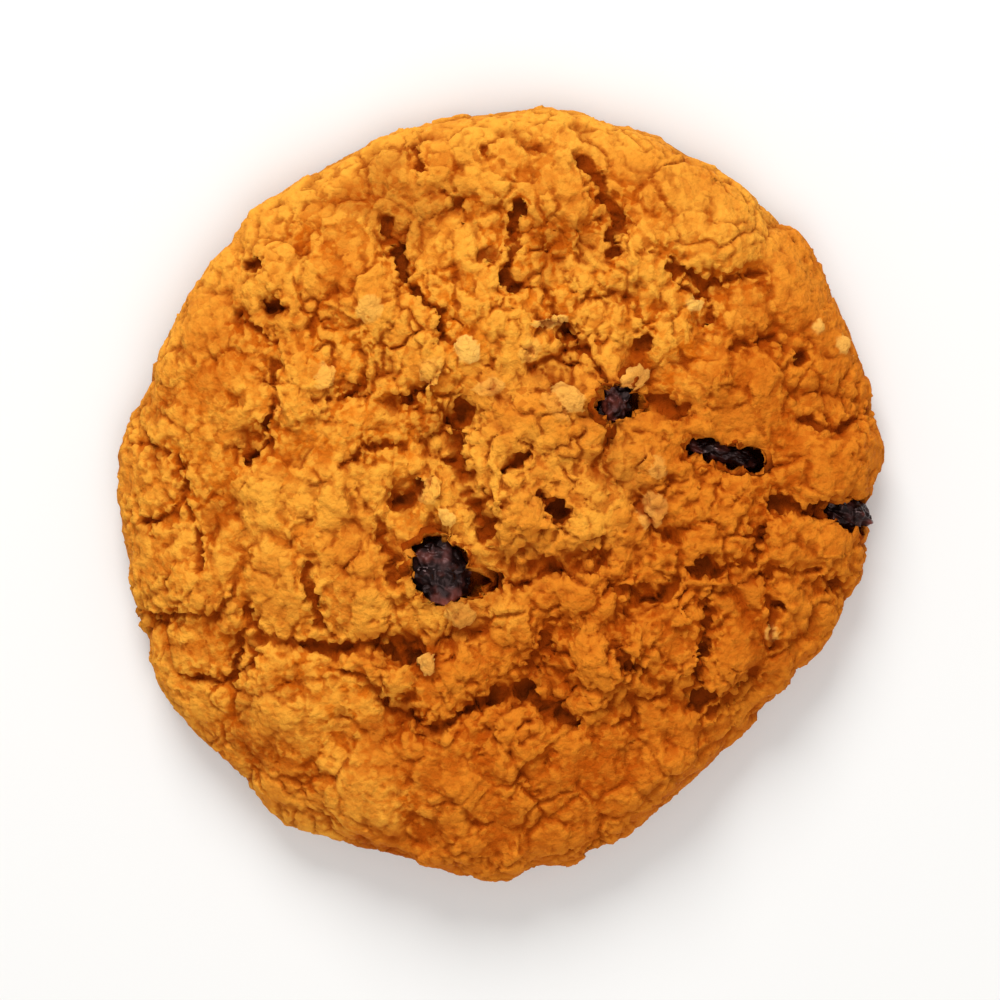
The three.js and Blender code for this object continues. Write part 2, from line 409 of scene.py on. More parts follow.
def raisin_tree(material):
    """The tree that folds a smooth skin."""
    tree, given, result = new_geometry_tree(
        "Dried raisin skin",
        swell=0.35 * MM,
        fold_size=3 * MM,
        fold_depth=1 * MM,
        crease_size=1.2 * MM,
        crease_depth=0.2 * MM,
        seed=0.0,
    )
    sizes = given.outputs
    place, normal = here(tree)

    def ridges(size, depth, limit):
        """Sharp valleys along the lines where a noise crosses its middle, at most as deep as given."""
        tone = cloud(tree, place, size, sizes["seed"], 2)
        away = calc(tree, "ABSOLUTE", calc(tree, "SUBTRACT", tone, 0.5))
        share = calc(tree, "MINIMUM", product(tree, away, RIDGE_STEEPNESS), limit)
        return product(tree, calc(tree, "SUBTRACT", share, 1), depth)

    folds = total(
        tree,
        ridges(sizes["fold_size"], sizes["fold_depth"], 1),
        ridges(sizes["crease_size"], sizes["crease_depth"], 2),
    )
    skin = move(tree, sizes["Geometry"], scaled(tree, normal, total(tree, folds, sizes["swell"])))
    skin = store(tree, skin, "fold", calc(tree, "DIVIDE", folds, MM))
    return end_tree(tree, skin, material, result)


skin_tree = raisin_tree(raisin_skin)
raisins = []
for number, node in enumerate(RAISIN_NODES):
    raisin = merged_copy(node, node.replace("raisin", "raisin_skin"))
    subdivide(raisin)
    apply_tree(raisin, skin_tree, seed=float(number))
    raisins.append(make_plain(raisin))
    print(raisin.name, triangles(raisin), "triangles")

# %% [markdown]
# ## The finish of the crust
#
# Baked dough is golden where it is thin and dry and toasted where its lumps bulge up. Cracks and hollows
# get painted shade, and crests a painted highlight. One colour would look like clay. Here each point knows
# a
# few things: what the mesh noted for it, such as how deep it lies, some chances from noise, and its place
# on the cookie, which is browner towards the lower right. Layers then paint it, one thin coat after
# another.

# %% What a point of the crust knows
BROWNER_SIDE = (0.8, -0.6, 0)
LIT_SIDE = (-0.1, 1, 0)
NOTES = ("oat", "gap", "crack", "lump_tone", "crumb_tone", "stain", "valley", "hollow", "nook")


def crust_knowledge(tree, place):
    """All that a point of the crust knows, by name. Heights and reaches are in millimetres."""
    noted = {name: attribute(tree, name) for name in NOTES}
    grain = voronoi(tree, place, 0.7 * MM)["Color"]
    reach = calc(tree, "DIVIDE", vector_calc(tree, "LENGTH", flattened(tree, place)), MM)
    # Painted light: the rim on the side towards the key light is painted paler
    lit_side = remap(tree, dot(tree, place, LIT_SIDE), 0, 30 * MM)
    # Browner towards the lower right
    browner_side = remap(tree, dot(tree, place, BROWNER_SIDE), -10 * MM, 34 * MM, -0.1, 0.44)
    patches = cloud(tree, place, 12 * MM, 1, 2)
    return {
        **noted,
        "light_grain": part_of(tree, grain, "X"),
        "dark_grain": part_of(tree, grain, "Y"),
        "speck": cloud(tree, place, 0.9 * MM, 2, 4),
        "mottle": cloud(tree, place, 3 * MM, 6, 6),
        "height": calc(tree, "DIVIDE", part_of(tree, place, "Z"), MM),
        "reach": reach,
        "painted_lit_rim": product(tree, lit_side, remap(tree, reach, 32, 38)),
        # Painted shade, darkest where a hollow lies beside a raisin
        "moist": product(tree, noted["stain"], remap(tree, noted["hollow"], 0, 0.5)),
        "baked": remap(tree, total(tree, patches, browner_side), 0.42, 0.66),
    }


print("a point knows", len(NOTES), "notes of the mesh")

# %% [markdown]
# ## The coats of the crust
#
# A coat such as the painted shade in the hollows is one row of a table, so its strength is easy to change.
# There is almost no gloss: a dry crumb scatters light, and a white sheen would grey the dark painted shade.
# The underside lay on the baking sheet, so its coats are calmer and browner, with painted shade in the
# pores.

# %% Make the crust finish
CRUST_AND_SHADE_COLOURS = {
    "golden": (0.68, 0.155, 0.0045, 1),
    "toasted": (0.46, 0.078, 0.002, 1),
    "pale": (0.93, 0.40, 0.042, 1),
    "oat": (0.94, 0.52, 0.11, 1),
    # The next two colours are painted shade for cracks and hollows
    "shade_brown": (0.29, 0.041, 0.0006, 1),
    "deep": (0.10, 0.015, 0.0004, 1),
    "edge": (0.46, 0.115, 0.010, 1),
    "sheet_brown_and_shade": (0.21, 0.062, 0.011, 1),
    "sheet_gold": (0.37, 0.13, 0.026, 1),
    "sheet_pale": (0.60, 0.28, 0.075, 1),
}
SKIN_LAYERS = [
    # what it goes by, where it starts, where it is full, its share, its colour
    ("reach", 22, 32, 0.3, "toasted"),
    # painted light: a paler rim on the lit side
    ("painted_lit_rim", 0, 1, 0.6, "pale"),
    ("lump_tone", 0.55, 1, 0.45, "pale_tone_and_highlight"),
    ("lump_tone", 0.45, 0, 0.45, "toasted"),
    ("crumb_tone", 0.55, 1, 0.45, "pale_tone_and_highlight"),
    ("crumb_tone", 0.45, 0, 0.45, "toasted"),
    ("light_grain", 0.5, 1, 0.3, "pale_tone_and_highlight"),
    ("dark_grain", 0.6, 1, 0.5, "toasted"),
    ("speck", 0.5, 0.7, 0.4, "pale_tone_and_highlight"),
    # painted highlight on small crests
    ("nook", -0.01, -0.12, 0.6, "pale_tone_and_highlight"),
    ("oat", 0, 1, 0.9, "oat"),
    ("height", 6, 1, 0.65, "edge"),
]
# Painted shade in valleys, nooks, gaps, cracks, hollows and beside the raisins; the first row paints a
# highlight
DEPTH_LAYERS = [
    ("valley", 0.1, -0.6, 0.35, "pale_tone_and_highlight"),
    ("valley", 0.1, 1, 0.7, "shade_brown"),
    ("nook", 0, 0.2, 0.5, "shade_brown"),
    ("gap", 0, 1, 0.4, "shade_brown"),
    ("crack", 0, 1, 0.9, "shade_brown"),
    ("hollow", 0.15, 0.7, 0.85, "shade_brown"),
    ("stain", 0, 1, 0.5, "shade_brown"),
    ("crack", 0.6, 1, 0.5, "deep"),
    ("hollow", 0.6, 1.5, 1, "deep"),
    ("moist", 0, 1, 1, "deep"),
]
SHEET_LAYERS = [
    ("mottle", 0.3, 0.65, 1, "sheet_gold"),
    ("reach", 24, 37, 0.5, "sheet_brown_and_shade"),
    ("valley", 0.02, 0.3, 0.5, "sheet_pale"),
    # painted shade in the pores of the underside
    ("nook", 0.01, 0.12, 0.8, "sheet_brown_and_shade"),
]
PALE_SPOTS = [
    # middle, where the pale spot is full, where it ends, its share
    ((4 * MM, 4 * MM, 12 * MM), 7 * MM, 15 * MM, 0.65),
    ((-18 * MM, -5 * MM, 11 * MM), 6 * MM, 13 * MM, 0.25),
]


def paint(tree, colour, layers, knows, colours):
    """Paints layers over a colour, one after another."""
    for name, start, full, share, tint in layers:
        colour = mix(tree, remap(tree, knows[name], start, full, 0, share), colour, colours[tint])
    return colour


def crust_material():
    """Colours by place and by lump, painted shade and highlights by depth, with a dry grain."""
    material, tree, shader, place = new_material("baked_crust")
    knows = crust_knowledge(tree, place)
    colours = dict(CRUST_AND_SHADE_COLOURS)
    half_baked = product(tree, knows["baked"], 0.7)
    # A pale tone for lumps and grain, also used as a painted highlight on crests and high ground
    colours["pale_tone_and_highlight"] = mix(tree, half_baked, colours["pale"], colours["golden"])
    colour = mix(tree, knows["baked"], colours["golden"], colours["toasted"])
    for middle, near, far, share in PALE_SPOTS:
        away = vector_calc(tree, "DISTANCE", place, middle)
        colour = mix(tree, remap(tree, away, near, far, share, 0), colour, colours["pale"])
    colour = paint(tree, colour, SKIN_LAYERS, knows, colours)
    colour = paint(tree, colour, DEPTH_LAYERS, knows, colours)
    sheet = paint(tree, colours["sheet_brown_and_shade"], SHEET_LAYERS, knows, colours)
    colour = mix(tree, remap(tree, knows["height"], 0.3, 2.4, 1, 0), colour, sheet)
    tree.links.new(colour, shader.inputs["Base Color"])
    tree.links.new(remap(tree, knows["speck"], 0.3, 0.7, 0.7, 0.9), shader.inputs["Roughness"])
    shader.inputs["Specular IOR Level"].default_value = 0.035
    crystals = product(tree, voronoi(tree, place, 0.5 * MM)["Distance"], -0.15)
    grain = total(tree, cloud(tree, place, 0.6 * MM, 5, 5), crystals)
    add_bump(tree, shader, grain, 0.6, 1 * MM)
    return material


baked_crust = crust_material()
print("finish:", baked_crust.name, "with", len(SKIN_LAYERS + DEPTH_LAYERS + SHEET_LAYERS), "layers")

# %% [markdown]
# ## Fissures
#
# As the dough spread in the oven, its dry skin tore, and bubbles broke open in it. The tears and bubbles of
# the solid are drawn here once more as routes across the top, so that they can be cut finer than its facets
# allow, and thin cracks that a solid can't hold join them. All lengths are in millimetres. Nobody sees the
# routes: they only guide the crust, which reads how far each of its points is from them.

# %% Draw the fissures
FISSURES = [
    # half width, depth, route
    (0.3, 1, [(-11.3, 28), (-10.9, 26.4)]),
    (0.5, 1.2, [(-10.9, 26.4), (-10.2, 24.1)]),
    (0.36, 1.1, [(-10.2, 24.1), (-9.1, 22), (-7, 19.9), (-5.7, 18.8), (-5.7, 16.4)]),
    (0.36, 1.1, [(1.5, 29.3), (1.2, 26.2), (0.9, 21.7)]),
    (0.55, 0.9, [(8.5, 33.6), (11.6, 28.3), (11, 25)]),
    (0.26, 0.9, [(16.5, 23.5), (20.6, 21), (20.3, 16.5)]),
    (0.26, 1, [(-25.5, 4.2), (-23.2, 5.7), (-22.8, 11)]),
    (0.5, 0.7, [(-3.6, 9.5), (-4.6, 7), (-4.6, 4), (-3.6, 1.5), (-1.5, -2.9)]),
    (0.6, 1.6, [(25.4, 3.6), (22, 5), (19, 5.3)]),
    (0.6, 1.5, [(40, -2.2), (33, -1.2), (30.5, -0.8)]),
    (0.35, 1, [(30.5, -0.8), (26.4, 0.2)]),
    (0.42, 1.3, [(-8.3, 1.8), (-9.9, 0.2)]),
    (0.34, 0.9, [(-20.4, -13.8), (-17, -14.8), (-13, -14.4), (-9, -15)]),
    (0.3, 0.9, [(-27.3, -18.2), (-25.7, -13.5), (-25.2, -10)]),
    (0.4, 1, [(-8.3, -23.5), (-1.5, -19.8), (2.7, -18.7), (7, -22.4)]),
    (0.3, 1.3, [(15.6, -8.9), (13.6, -9.8)]),
    (0.26, 1.2, [(12, -16), (14.4, -17.2)]),
    (0.26, 1, [(25.6, -2), (25.2, -6.4), (19.6, -6.6)]),
    (0.26, 1, [(20.4, -11.5), (19.6, -18.5)]),
    (0.3, 1.6, [(0.6, 3.4), (2.6, 4.7)]),
    (0.28, 1.4, [(3.9, 1), (5.4, -0.4)]),
    (0.3, 1.4, [(5.4, -0.4), (6.1, -1.2)]),
    (0.4, 1.4, [(-2.2, -7.9), (-0.6, -8.2)]),
    (0.5, 0.7, [(13.6, 10), (16, 9.9), (18, 9.4)]),
    (0.4, 0.6, [(0.5, -6.6), (5, -6.2), (10, -4.8)]),
]
CRACK_HALF_WIDTH = 0.28
CRACK_DEPTH = 0.75
CRACKS = [
    [(1.2, 25.7), (-2, 24.4)],
    [(16.9, 24.6), (17.5, 21.5), (20.4, 20.5)],
    [(20.4, 21), (22.7, 22), (25.9, 22.5)],
    [(23.3, 15.7), (26.9, 16.7), (29, 14.6)],
    [(-22.5, 14.1), (-22.8, 10.4)],
    [(-36.7, 5.7), (-32.5, 4.6), (-31.6, 1.4), (-32.5, -1.4), (-36.2, -2)],
    [(-31.5, -0.3), (-30.7, -2.4), (-29.9, -6.6)],
    [(-35.7, -12.4), (-31.5, -11.9), (-28.3, -11.9), (-26.2, -8.2)],
    [(-25.4, -10), (-24.6, -13.5), (-25.2, -16.6), (-27.8, -18.5), (-32.5, -17.7)],
    [(-24.6, -14), (-20.4, -13.8)],
    [(-19.4, -6.1), (-18.8, -9.3), (-18.3, -11.9), (-16.7, -13.5)],
    [(-14.1, 1.8), (-12.5, -0.8), (-10.9, -5), (-10.9, -7.7)],
    [(-16.7, -16.6), (-12.5, -18.7), (-10.9, -20.8), (-7.8, -22.4)],
    [(2.2, -18.7), (2.5, -16.6), (4.3, -14.5), (5.4, -11.4)],
    [(1.2, -8.7), (5.4, -6.4), (9, -6.4), (10.6, -4.5)],
    [(10.6, -7.7), (13.8, -9.3)],
    [(15.9, -9), (17.5, -7.7), (17.5, -4.5), (13.8, -0.8)],
    [(21.2, -8.2), (20.4, -11.5)],
    [(25.9, -7.2), (31.7, -7.4), (33.3, -9.3)],
    [(27, -9.8), (27.6, -14.5)],
    [(11.7, -13.5), (12.4, -16)],
    [(21.2, -21.4), (24.3, -20.3), (25.4, -18.7)],
    [(-18.3, 9.9), (-15.5, 10.6), (-13.6, 12)],
    [(-9.9, 9.9), (-7.3, 11.5)],
    [(-15.7, 4.1), (-12, 6), (-9.6, 5.6)],
    [(-5.2, 30.4), (-4.6, 29.4)],
    [(-8.8, 35.7), (-8.3, 32.5)],
    [(-26.7, 18.3), (-22.4, 15.9)],
    [(4.6, 17.6), (8.4, 15.6), (9.4, 13.2)],
    [(29.5, 8.5), (33.5, 7.4), (36.5, 8.2)],
]
BUBBLES = [
    # x, y, half width, depth
    (-22.6, 19.6, 0.8, 1.5),
    (-24.7, 23.8, 0.55, 1.2),
    (-5.7, 18.8, 0.5, 1.2),
    (-5.7, 30.7, 0.35, 0.9),
    (-8, 33, 0.3, 0.8),
    (-1.5, 35.2, 0.28, 0.8),
    (3.8, 35.6, 0.28, 0.8),
    (-1.5, 24.9, 0.3, 0.9),
    (1.3, 21.6, 0.45, 1.2),
    (13.8, 15.9, 0.5, 1.1),
    (29.6, 14.6, 0.5, 1),
    (-25.2, 4.4, 0.45, 1.1),
    (20.1, -20.3, 0.6, 1.1),
    (33.8, -9, 0.4, 1.2),
    (27.5, -10.6, 0.4, 1.1),
    (-32, -17.6, 0.35, 0.8),
]


def add_numbers(piece, domain, **lists):
    """Keeps numbers with the points or the edges of a piece."""
    for label, values in lists.items():
        piece.data.attributes.new(label, "FLOAT", domain).data.foreach_set("value", values)


def draw_routes(name):
    """All routes as loose edges on the base, each edge with its half width and depth."""
    cracks = [(CRACK_HALF_WIDTH, CRACK_DEPTH, route) for route in CRACKS]
    bubbles = [(wide, depth, [(x - wide / 2, y), (x + wide / 2, y)]) for x, y, wide, depth in BUBBLES]
    places = []
    edges = []
    half_widths = []
    depths = []
    for half_width, depth, route in FISSURES + cracks + bubbles:
        first = len(places)
        places += [(x * MM, y * MM, 0) for x, y in route]
        for step in range(first, len(places) - 1):
            edges.append((step, step + 1))
            half_widths.append(half_width * MM)
            depths.append(depth * MM)
    piece = new_piece(name, places, edges)
    add_numbers(piece, "EDGE", half_width=half_widths, depth=depths)
    return piece


fissure_guide = draw_routes("fissure_guide")
print("fissures:", len(FISSURES), "cracks:", len(CRACKS), "bubbles:", len(BUBBLES))

# %% [markdown]
# ## How dough tears
#
# A cut along a route would look like a knife's work. Dough breaks off in whole crumbs instead, so the trees
# ask how far the crumb is from the route rather than the point: each point leans towards the middle of its
# Voronoi cell. A noise shifts the places first, so the edges are ragged. One lip is steep and the other
# slopes gently, as dough that sagged while it was soft, and in the deepest tears some crumbs are left.

# %% Helpers for tears
RAGGED = [(3 * MM, 1.8 * MM), (0.9 * MM, 0.8 * MM)]
OWN_SAY = 0.5
CRUMB_SAYS = [(2 * MM, 0.22), (1 * MM, 0.28)]
LEFT_CRUMB = 1.2 * MM
GENTLE_SIDE = (0.3, -1, 0)


def broken_place(tree, flat, loose):
    """The ragged place of a point, and that place drawn towards the middles of its crumbs."""
    ragged = flat
    for size, reach in RAGGED:
        ragged = vector_calc(tree, "ADD", ragged, flattened(tree, drift(tree, flat, size, 3, 1, reach)))
    broken = scaled(tree, ragged, OWN_SAY)
    for size, say in CRUMB_SAYS:
        middle = flattened(tree, voronoi(tree, ragged, size)["Position"])
        broken = vector_calc(tree, "ADD", broken, scaled(tree, middle, say))
    moved = scaled(tree, vector_calc(tree, "SUBTRACT", broken, flat), loose)
    return ragged, vector_calc(tree, "ADD", flat, moved)


def fissure_at(tree, place, guide, fruit):
    """The depth of the nearest fissure, how far a point is from its middle, and that as a share of its half
    width. Near a raisin, which holds the dough, the edges are less ragged."""
    flat = flattened(tree, place)
    loose = remap(tree, fruit, 0.5 * MM, 2 * MM, 0.35, 1)
    ragged, broken = broken_place(tree, flat, loose)
    routes = geometry_of(tree, guide)
    asked = {"Geometry": routes, "Sample Position": broken}
    near = add_node(tree, "GeometryNodeProximity", asked, target_element="EDGES").outputs
    edge = add_node(tree, "GeometryNodeSampleNearest", asked, domain="EDGE").outputs["Index"]

    def of_route(name):
        """A number that was kept with the nearest edge."""
        wanted = {"Geometry": routes, "Value": stored(tree, name), "Index": edge}
        return made(tree, "GeometryNodeSampleIndex", wanted, data_type="FLOAT", domain="EDGE")

    pinch = remap(tree, cloud(tree, flat, 3.2 * MM, 4, 1), 0.35, 0.6, 0.75, 1.25)
    aside = vector_calc(tree, "NORMALIZE", vector_calc(tree, "SUBTRACT", broken, near["Position"]))
    slope = remap(tree, dot(tree, aside, GENTLE_SIDE), -0.3, 0.8, 1, 1.6)
    half_width = product(tree, of_route("half_width"), pinch, slope)
    shallow = remap(tree, of_route("depth"), 1.15 * MM, 1.4 * MM, 1, 0)
    left = part_of(tree, voronoi(tree, ragged, LEFT_CRUMB)["Color"], "X")
    left = remap(tree, total(tree, left, shallow), 0, 0.55, 0.45, 1)
    patch = remap(tree, cloud(tree, flat, 4.5 * MM, 8, 1), 0.32, 0.55, 0.7, 1)
    return {
        "depth": product(tree, of_route("depth"), patch, left),
        "distance": near["Distance"],
        "share": calc(tree, "DIVIDE", near["Distance"], half_width),
    }


# %% [markdown]
# ## Crumbs and flakes
#
# The crust is made of things: oat flakes and bits of dough that stand out of it. They could be painted as
# a bump, but then no edge would cast a shadow. Here Geometry Nodes scatters real crumbs and flakes on the
# solid, sunk to different depths. The wide ones keep clear of the fissures and of the raisins, and the deep
# hollows get a nest of round crumbs. A few flakes that lie open on top have their own places.

# %% Where the crust is rough, and how things are scattered on it
CALM_DOME = (-19 * MM, -5 * MM, 12 * MM)


def roughness_of_crust(tree, place):
    """From 0, where the crust kept a calm skin, mostly near the rim, to 1, where it is all crumbs."""
    reach = vector_calc(tree, "LENGTH", flattened(tree, place))
    dome = vector_calc(tree, "DISTANCE", place, CALM_DOME)
    rough = total(
        tree,
        cloud(tree, place, 14 * MM, 7, 1),
        remap(tree, reach, 14 * MM, 34 * MM, 0.1, -0.2),
        remap(tree, dome, 7 * MM, 13 * MM, -0.25, 0),
    )
    return remap(tree, rough, 0.34, 0.6)


def chance(tree, seed, low, high):
    """A random number for each point, or a random vector between two vectors."""
    vector = isinstance(low, tuple)
    first = 0 if vector else 2
    inputs = {first: low, first + 1: high, "Seed": seed}
    kind = "FLOAT_VECTOR" if vector else "FLOAT"
    return add_node(tree, "FunctionNodeRandomValue", inputs, data_type=kind).outputs[0 if vector else 1]


def random_turn(tree, seed, tilt):
    """Any turn round the upright, leaning by up to the tilt."""
    angles = chance(tree, seed, (-tilt, -tilt, 0), (tilt, tilt, math.tau))
    return made(tree, "FunctionNodeEulerToRotation", {"Euler": angles})


def set_out(tree, points, shape, turn, scale, oat):
    """Sets a shape on each point and notes how much of a pale oat flake it is."""
    inputs = {"Points": points, "Instance": shape, "Rotation": turn, "Scale": scale}
    laid = made(tree, "GeometryNodeInstanceOnPoints", inputs)
    return store(tree, laid, "oat", oat, "INSTANCE")


PACKING = 1.6


def scatter(tree, core, shape, spacing, radius, stretch, sink, seed, density, where, tilt, oat):
    """Sets a shape on points of the core, sunk by a share of its size and turned by up to the tilt."""
    points = add_node(tree, "GeometryNodeDistributePointsOnFaces", {
        "Mesh": core,
        "Selection": where,
        "Distance Min": spacing,
        "Density Max": PACKING / spacing ** 2,
        "Density Factor": density,
        "Seed": seed,
    }, distribute_method="POISSON").outputs
    size = chance(tree, seed + 1, *radius)
    sunk = move(tree, points["Points"], scaled(tree, points["Normal"], product(tree, size, -sink)))
    lying = {"Rotation": points["Rotation"], "Rotate By": random_turn(tree, seed + 2, tilt)}
    turn = made(tree, "FunctionNodeRotateRotation", lying, rotation_space="LOCAL")
    uneven = chance(tree, seed + 3, (0.7, 0.7, 0.7), (1.3, 1.3, 1.3))
    uneven = vector_calc(tree, "MULTIPLY", uneven, stretch)
    return set_out(tree, sunk, shape, turn, scaled(tree, uneven, size), oat)


# %% Scatter the crumbs and flakes
LITTER = [
    # shape, spacing, radii, stretch, sunk share, seed, how many, where, tilt, paleness
    ("ball", 1.3, (0.45, 1.05), (1, 0.8, 0.4), 0.3, 10, "some", "level", 0.5, 0),
    ("bead", 1, (0.25, 0.5), (1, 1, 0.8), 0.25, 20, "some", "free", math.tau, 0),
    ("bead", 0.68, (0.16, 0.32), (1, 1, 1), 0.15, 30, "some", "free", math.tau, 0),
    ("ball", 1.1, (0.45, 1.1), (1, 0.9, 0.7), 0.3, 70, "inside", "free", math.tau, 0),
    ("ball", 4.8, (1.3, 2.3), (1, 0.7, 0.16), -0.04, 50, "rough", "wide", 0.35, 0.9),
]
BEAD_FACES = {"Radius": 1, "Subdivisions": 1}
BALL_FACES = {"Radius": 1, "Segments": 8, "Rings": 6}
PALE_SEED = 40
OAT_SEED = 61
OATS = [
    # x, y, half length, paleness
    (-3, 15.2, 1.8, 1),
    (3, 15.2, 1.7, 0.35),
    (6.4, 10.4, 2.2, 0.7),
    (13.3, 12.5, 1.8, 0.7),
    (15.4, 3.6, 1.5, 0.5),
    (33.8, 15.2, 1.3, 1),
    (31.4, 17.3, 0.9, 1),
    (19, 19.5, 1, 0.8),
    (-4.1, -11.4, 1.8, 0.5),
    (-7.3, -15.6, 1.1, 1),
    (-5.2, -1.4, 1.1, 0.8),
    (27, -13.4, 1.1, 0.7),
]
OAT_STRETCH = (1, 0.75, 0.3)
OAT_TILT = 0.3
CORE_SHARE = 0.35
FINE_BLUR = 7
WIDE_BLUR = 18
HOLLOW_BLUR = 60


def soft_core(tree, shape, place, height, fruit, fissure):
    """The solid with its facets softened, less so near the raisins, and part of the fissures cut."""
    fine = blurred(tree, place, FINE_BLUR)
    more = vector_calc(tree, "SUBTRACT", blurred(tree, place, WIDE_BLUR), fine)
    soft = vector_calc(tree, "ADD", fine, scaled(tree, more, remap(tree, fruit, 1 * MM, 4 * MM)))
    cut = remap(tree, fissure["share"], 0, 1.4, -CORE_SHARE, 0)
    cut = product(tree, cut, fissure["depth"], remap(tree, height, 2 * MM, 5 * MM))
    return move(tree, shape, made(tree, "ShaderNodeCombineXYZ", {"Z": cut}), Position=soft)


def drop_flakes(tree, core, guide, shape):
    """The flakes that lie open on top: each drops from above onto the core."""
    ray = {"Target Geometry": core, "Ray Direction": (0, 0, -1)}
    hit = add_node(tree, "GeometryNodeRaycast", ray).outputs["Hit Position"]
    landed = move(tree, geometry_of(tree, guide), Position=hit)
    turn = random_turn(tree, OAT_SEED, OAT_TILT)
    scale = scaled(tree, OAT_STRETCH, stored(tree, "length"))
    return set_out(tree, landed, shape, turn, scale, stored(tree, "paleness"))


def crumb_tree(material):
    """The tree that softens the solid and covers it with crumbs and flakes."""
    tree, given, result = new_geometry_tree(
        "Crumbs and oat flakes",
        raisins=None,
        fissures=None,
        oats=None,
        crumb_clear=0.8 * MM,
        bit_clear=1.5 * MM,
        flake_clear=2.8 * MM,
        base_clear=1.8 * MM,
        bend=0.6 * MM,
    )
    sizes = given.outputs
    place, _ = here(tree)
    height = part_of(tree, place, "Z")
    fruit = nearest_face(tree, place, sizes["raisins"])["Distance"]
    fissure = fissure_at(tree, place, sizes["fissures"], fruit)
    core = soft_core(tree, sizes["Geometry"], place, height, fruit, fissure)

    def beyond(name, value=fruit):
        """1 where a value is larger than one of the sizes."""
        return calc(tree, "GREATER_THAN", value, sizes[name])

    free = product(tree, beyond("base_clear", height), beyond("crumb_clear"))
    level = product(tree, free, beyond("bit_clear"), calc(tree, "GREATER_THAN", fissure["share"], 0.9))
    areas = {"free": free, "level": level, "wide": product(tree, level, beyond("flake_clear"))}
    rough = roughness_of_crust(tree, place)
    amounts = {
        "rough": rough,
        "some": remap(tree, rough, 0, 1, 0.25, 1, "LINEAR"),
        "inside": remap(tree, depth_below(tree, HOLLOW_BLUR), 0.12, 0.5),
    }
    shapes = {
        "bead": made(tree, "GeometryNodeMeshIcoSphere", BEAD_FACES),
        "ball": made(tree, "GeometryNodeMeshUVSphere", BALL_FACES),
    }
    litter = []
    for shape, spacing, radii, stretch, sink, seed, amount, area, tilt, most in LITTER:
        radii = [radius * MM for radius in radii]
        pale = calc(tree, "POWER", chance(tree, PALE_SEED, 0, most), 3)
        litter.append(scatter(tree, core, shapes[shape], spacing * MM, radii, stretch, sink, seed,
                              amounts[amount], areas[area], tilt, pale))
    litter.append(drop_flakes(tree, core, sizes["oats"], shapes["ball"]))

    # No two crumbs alike: a noise bends each one where it lies
    pieces = made(tree, "GeometryNodeRealizeInstances", {"Geometry": join(tree, *litter)})
    pieces = move(tree, pieces, drift(tree, place, 1 * MM, 9, 3, sizes["bend"]))
    return end_tree(tree, join(tree, core, pieces), material, result)


def joined_copy(name, pieces):
    """One mesh of several pieces, as a guide."""
    places = []
    faces = []
    for piece in pieces:
        first = len(places)
        places += [tuple(vertex.co) for vertex in piece.data.vertices]
        faces += [[first + v for v in face.vertices] for face in piece.data.polygons]
    return new_piece(name, places, faces=faces)


raisin_guide = joined_copy("raisin_guide", raisins)
oat_guide = new_piece("oat_guide", [(x * MM, y * MM, cad_high.z * 2) for x, y, *_ in OATS])
lengths = [oat[2] * MM for oat in OATS]
add_numbers(oat_guide, "POINT", length=lengths, paleness=[oat[3] for oat in OATS])
crust_parts = merged_copy("dough", "crust_parts")
subdivide(crust_parts)
guides = {"raisins": raisin_guide, "fissures": fissure_guide}
apply_tree(crust_parts, crumb_tree(baked_crust), oats=oat_guide, **guides)
make_plain(crust_parts)
print("crust parts:", triangles(crust_parts), "triangles")

# %% [markdown]
# ## Lumps in the crust
#
# A crust dries before the dough below has finished rising, so it breaks into lumps, and the lumps break
# into smaller ones. A Voronoi texture gives each lump a dome and its own height. Where a noise allows it,
# the corners between lumps open into gaps, and a thin split runs along a border. The tree does this at
# three sizes, with lower relief where the crust is calm.

# %% Helpers for lumps
LUMPS = [
    # size, warp, dome, step, gap depth, split depth, split half width, share of the relief on calm crust
    (8, 1.6, 0.8, 0.3, 0.4, 0.45, 0.35, 0.7),
    (3.6, 0.8, 0.36, 0.2, 0.45, 0.5, 0.3, 0.5),
    (1.5, 0.4, 0.16, 0.11, 0.3, 0.2, 0.17, 0.4),
]
APART = (0.1, 0.07, 0.03)


def lumps(tree, place, size, warp, seed):
    """Lumps about as large as size: how far a point is from the middle of its lump and from the border,
    as shares of the size, and chances for each lump."""
    apart = tuple(seed * step for step in APART)
    bent = vector_calc(tree, "ADD", place, drift(tree, place, warp * 2, seed, 3, warp * 2.5))
    bent = vector_calc(tree, "ADD", bent, apart)
    border = voronoi(tree, bent, size, "DISTANCE_TO_EDGE")["Distance"]
    lump = voronoi(tree, bent, size)
    return lump["Distance"], border, lump["Color"]


def lump_relief(tree, place):
    """The height of the lumps at a point, how open the gaps are there, and a chance for each size."""
    rough = roughness_of_crust(tree, place)
    rise = 0
    gaps = 0
    tones = []
    for number, (size, warp, dome, step, gap, split, half_width, calm_share) in enumerate(LUMPS):
        away, border, chances = lumps(tree, place, size * MM, warp * MM, number + 1)
        patch = cloud(tree, place, size * 0.7 * MM, 20 + number, 1)
        hole = product(tree, remap(tree, away, 0.62, 0.85), remap(tree, patch, 0.36, 0.56))
        line = product(tree, remap(tree, border, 0, half_width / size, 1, 0),
                       remap(tree, patch, 0.48, 0.62))
        gaps = calc(tree, "MAXIMUM", gaps, calc(tree, "MAXIMUM", hole, line))
        high = total(
            tree,
            product(tree, away, away, -dome * MM),
            remap(tree, part_of(tree, chances, "X"), 0, 1, -step * MM, step * MM, "LINEAR"),
            product(tree, hole, -gap * MM),
            product(tree, line, -split * MM),
        )
        share = remap(tree, rough, 0, 1, calm_share, 1, "LINEAR")
        rise = total(tree, rise, product(tree, high, share))
        tones.append(part_of(tree, chances, "Y"))
    return rise, gaps, tones


